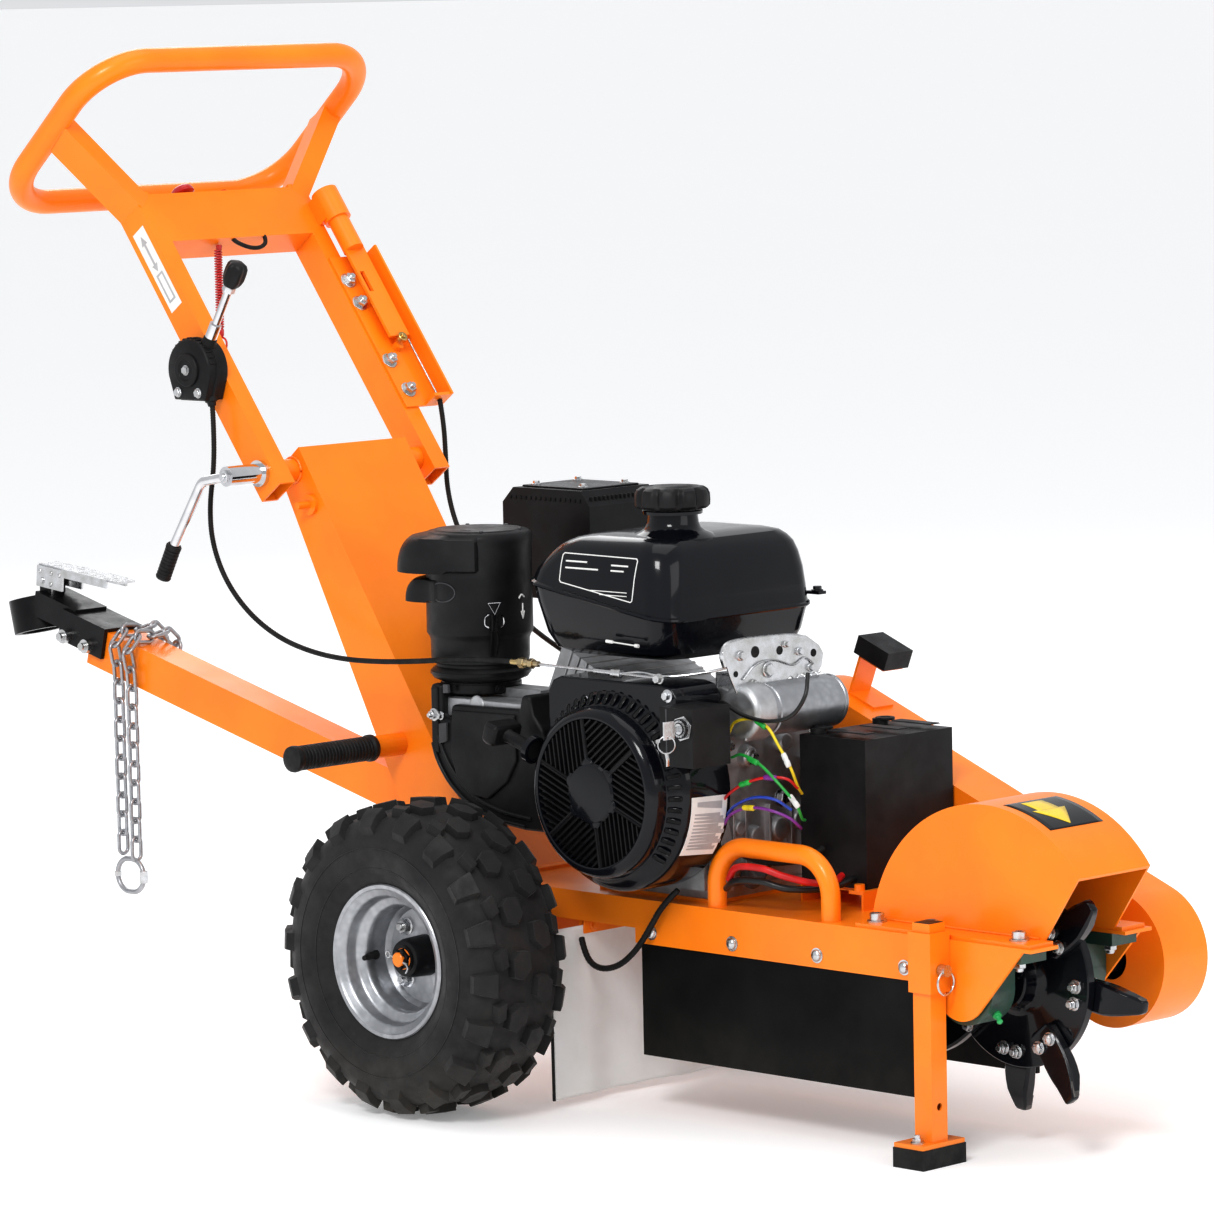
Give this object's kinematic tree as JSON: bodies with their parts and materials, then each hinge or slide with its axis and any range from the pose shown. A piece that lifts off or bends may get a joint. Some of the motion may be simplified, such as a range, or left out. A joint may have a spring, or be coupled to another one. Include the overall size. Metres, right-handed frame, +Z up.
{
  "type": "stump grinder",
  "caption": "Walk-behind petrol stump grinder: tall tow-bar frame on off-road wheels, engine and belt drive over a toothed cutter disc, with a looped tilting handlebar.",
  "frame": {"origin": "on the ground, under the middle of the machine's bounding box", "axes": "+X towards the cutter end, -X towards the handlebar and tow coupler; +Y to the belt-guard side; +Z up"},
  "size_m": [1.8446, 0.65, 1.214],
  "materials": {
    "orange_paint": "gloss powder coat",
    "black_paint": "gloss black",
    "black_steel": "black, lightly oiled",
    "green_iron": "dark green enamel",
    "zinc_steel": "bright zinc plate",
    "chrome_steel": "chrome plate",
    "galvanised": "galvanised, spangled",
    "cast_aluminium": "as cast",
    "pulley_iron": "phosphate grey",
    "tyre_rubber": "matt",
    "black_rubber": "matt",
    "black_plastic": "fine texture",
    "red_plastic": "gloss",
    "white_cloth": "woven"
  },
  "bodies": {
    "chassis": {"deck": "orange_paint", "column": "orange_paint", "axle_beam": "orange_paint", "tow_bar": "orange_paint", "tow_coupler": "black_paint", "coupler_bolts": "zinc_steel", "safety_chain": "zinc_steel", "side_grip": "black_rubber", "machine_cables": "black_rubber", "engine_block": "cast_aluminium", "fan_housing": "black_paint", "fuel_tank": "black_paint", "air_cleaner": "black_plastic", "intake_shroud": "black_plastic", "muffler_cover": "black_paint", "starter_motor": "galvanised", "governor_plate": "zinc_steel", "control_box": "black_plastic", "battery_box": "black_plastic", "hour_meter": "black_plastic", "belt_guard": "orange_paint", "drive_belt": "black_rubber", "bearing_blocks": "green_iron", "cutter_guard": "orange_paint", "deck_bolts": "zinc_steel", "side_flaps": "black_rubber", "chip_curtain": "white_cloth", "lift_handle": "orange_paint"},
    "wheel_near": {"rim_near": "galvanised", "tyre_near": "tyre_rubber"},
    "wheel_far": {"rim_far": "galvanised", "tyre_far": "tyre_rubber"},
    "handle": {"handle_loop": "orange_paint", "handle_arm_near": "orange_paint", "handle_arm_far": "orange_paint", "cross_plate": "orange_paint", "lanyard_switch": "red_plastic", "stop_lanyard": "red_plastic", "throttle_housing": "black_plastic", "slider_bracket": "orange_paint", "handle_cables": "black_rubber"},
    "throttle_lever": {"throttle_lever": "chrome_steel", "throttle_knob": "black_plastic"},
    "clamp_crank": {"clamp_crank": "chrome_steel", "crank_grip": "black_rubber"},
    "clutch_slider": {"clutch_slider": "orange_paint"},
    "stop_button": {"stop_button": "red_plastic"},
    "cutter": {"cutter_shaft": "zinc_steel", "cutter_disc": "black_steel", "cutter_teeth": "black_steel", "tooth_bolts": "zinc_steel", "cutter_pulley": "pulley_iron"},
    "engine_pulley": {"engine_pulley": "pulley_iron"},
    "recoil_handle": {"recoil_handle": "black_plastic"},
    "fuel_cap": {"fuel_cap": "black_plastic"},
    "ignition_key": {"ignition_key": "zinc_steel"},
    "coupler_latch": {"coupler_latch": "zinc_steel"},
    "stand": {"stand_leg": "orange_paint", "stand_pad": "black_rubber"},
    "stand_pin": {"stand_pin": "zinc_steel"}
  },
  "joints": [
    {"name": "wheel_near_spin", "type": "hinge", "parent": "chassis", "child": "wheel_near", "pos_m": [0.08772, -0.2525, 0.181], "axis": [0, 1, 0], "continuous": true},
    {"name": "wheel_far_spin", "type": "hinge", "parent": "chassis", "child": "wheel_far", "pos_m": [0.08772, 0.2525, 0.181], "axis": [0, 1, 0], "continuous": true},
    {"name": "cutter_spin", "type": "hinge", "parent": "chassis", "child": "cutter", "pos_m": [0.76772, 0, 0.194], "axis": [0, 1, 0], "continuous": true},
    {"name": "engine_pulley_spin", "type": "hinge", "parent": "chassis", "child": "engine_pulley", "pos_m": [0.30672, 0.188, 0.379], "axis": [0, 1, 0], "continuous": true},
    {"name": "handle_tilt", "type": "hinge", "parent": "chassis", "child": "handle", "pos_m": [-0.29428, 0, 0.708], "axis": [0, 1, 0], "range_deg": [0, 35]},
    {"name": "clamp_crank_turn", "type": "hinge", "parent": "handle", "child": "clamp_crank", "pos_m": [-0.29428, -0.17, 0.708], "axis": [0, 1, 0], "range_deg": [-20, 100]},
    {"name": "throttle_swing", "type": "hinge", "parent": "handle", "child": "throttle_lever", "pos_m": [-0.38353, -0.156, 0.82856], "axis": [0, 1, 0], "range_deg": [-20, 30]},
    {"name": "clutch_slide", "type": "slide", "parent": "handle", "child": "clutch_slider", "axis": [-0.595, 0, 0.8037], "range_m": [0, 0.02]},
    {"name": "stop_press", "type": "slide", "parent": "handle", "child": "stop_button", "axis": [-0.595, 0, 0.8037], "range_m": [-0.006, 0], "stiffness_N_per_m": 1500},
    {"name": "recoil_pull", "type": "slide", "parent": "chassis", "child": "recoil_handle", "axis": [-0.9533, 0, 0.3021], "range_m": [0, 0.3], "stiffness_N_per_m": 60, "springref_m": -0.15},
    {"name": "fuel_cap_turn", "type": "hinge", "parent": "chassis", "child": "fuel_cap", "pos_m": [0.30972, -0.06, 0.7], "axis": [0, 0, 1], "range_deg": [0, 90]},
    {"name": "key_turn", "type": "hinge", "parent": "chassis", "child": "ignition_key", "pos_m": [0.44472, -0.19, 0.462], "axis": [0, 1, 0], "range_deg": [0, 80]},
    {"name": "latch_lift", "type": "hinge", "parent": "chassis", "child": "coupler_latch", "pos_m": [-0.85428, 0, 0.537], "axis": [0, -1, 0], "range_deg": [0, 70]},
    {"name": "stand_slide", "type": "slide", "parent": "chassis", "child": "stand", "axis": [0, 0, 1], "range_m": [0, 0.12]},
    {"name": "stand_pin_pull", "type": "slide", "parent": "chassis", "child": "stand_pin", "axis": [1, 0, 0], "range_m": [0, 0.02]}
  ],
  "couplings": [
    {"joint": "engine_pulley_spin", "follows": "cutter_spin", "ratio": 1.048}
  ]
}
